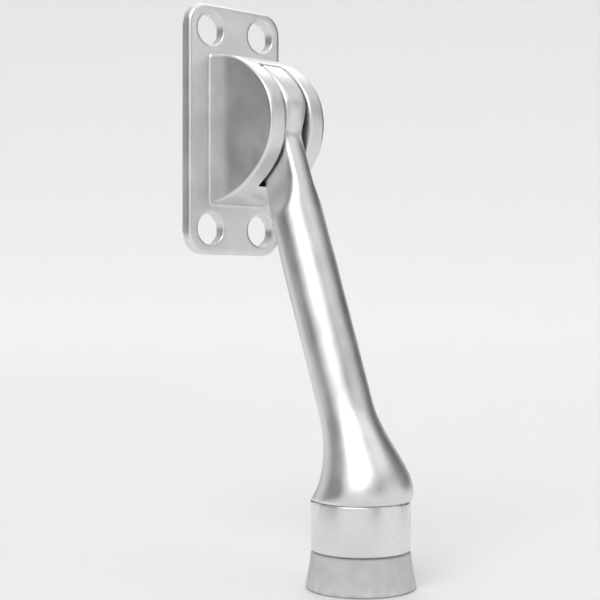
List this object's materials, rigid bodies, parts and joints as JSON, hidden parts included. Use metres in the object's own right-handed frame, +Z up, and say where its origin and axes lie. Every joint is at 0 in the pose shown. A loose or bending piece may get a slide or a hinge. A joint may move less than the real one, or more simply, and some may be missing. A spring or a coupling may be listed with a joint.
{
  "type": "floor door holder",
  "caption": "Kick-down door holder: a small plate with two D-shaped ears carries a hinged arm that ends in a ferrule and a flared rubber foot.",
  "frame": {"origin": "middle of the bracket's back face, which lies on the door", "axes": "+Z up the door, +Y into the door, +X across it to the right as seen facing the door; the holder stands out along -Y"},
  "size_m": [0.0264, 0.0562, 0.1266],
  "materials": {
    "cast_metal": "satin cast aluminium with a clear coat, finely grained, brighter where edges are rubbed",
    "turned_metal": "turned aluminium, fine rings round the band",
    "foot_rubber": "matte mid-grey moulded rubber, slightly dusty at the sole",
    "pin_steel": "ground steel with a faint turned face",
    "washer_bronze": "plain rolled phosphor bronze",
    "ball_steel": "polished bearing steel",
    "spring_steel": "drawn spring wire",
    "plated_steel": "bright zinc plate"
  },
  "bodies": {
    "bracket": {"bracket": "cast_metal", "pivot_pin": "pin_steel", "side_washer_left": "washer_bronze", "side_washer_right": "washer_bronze"},
    "arm": {"arm": "cast_metal", "detent_spring": "spring_steel", "ferrule": "turned_metal", "rubber_foot": "foot_rubber", "foot_washer": "plated_steel", "foot_screw": "plated_steel"},
    "detent": {"detent_ball": "ball_steel"}
  },
  "joints": [
    {"name": "arm_swing", "type": "hinge", "parent": "bracket", "child": "arm", "pos_m": [0, -0.0168, 0], "axis": [-1, 0, 0], "range_deg": [0, 138.2]},
    {"name": "detent_travel", "type": "slide", "parent": "arm", "child": "detent", "axis": [0, 0.3567, 0.9342], "range_m": [0, 0.0006], "stiffness_N_per_m": 1500, "springref_m": 0.003}
  ]
}
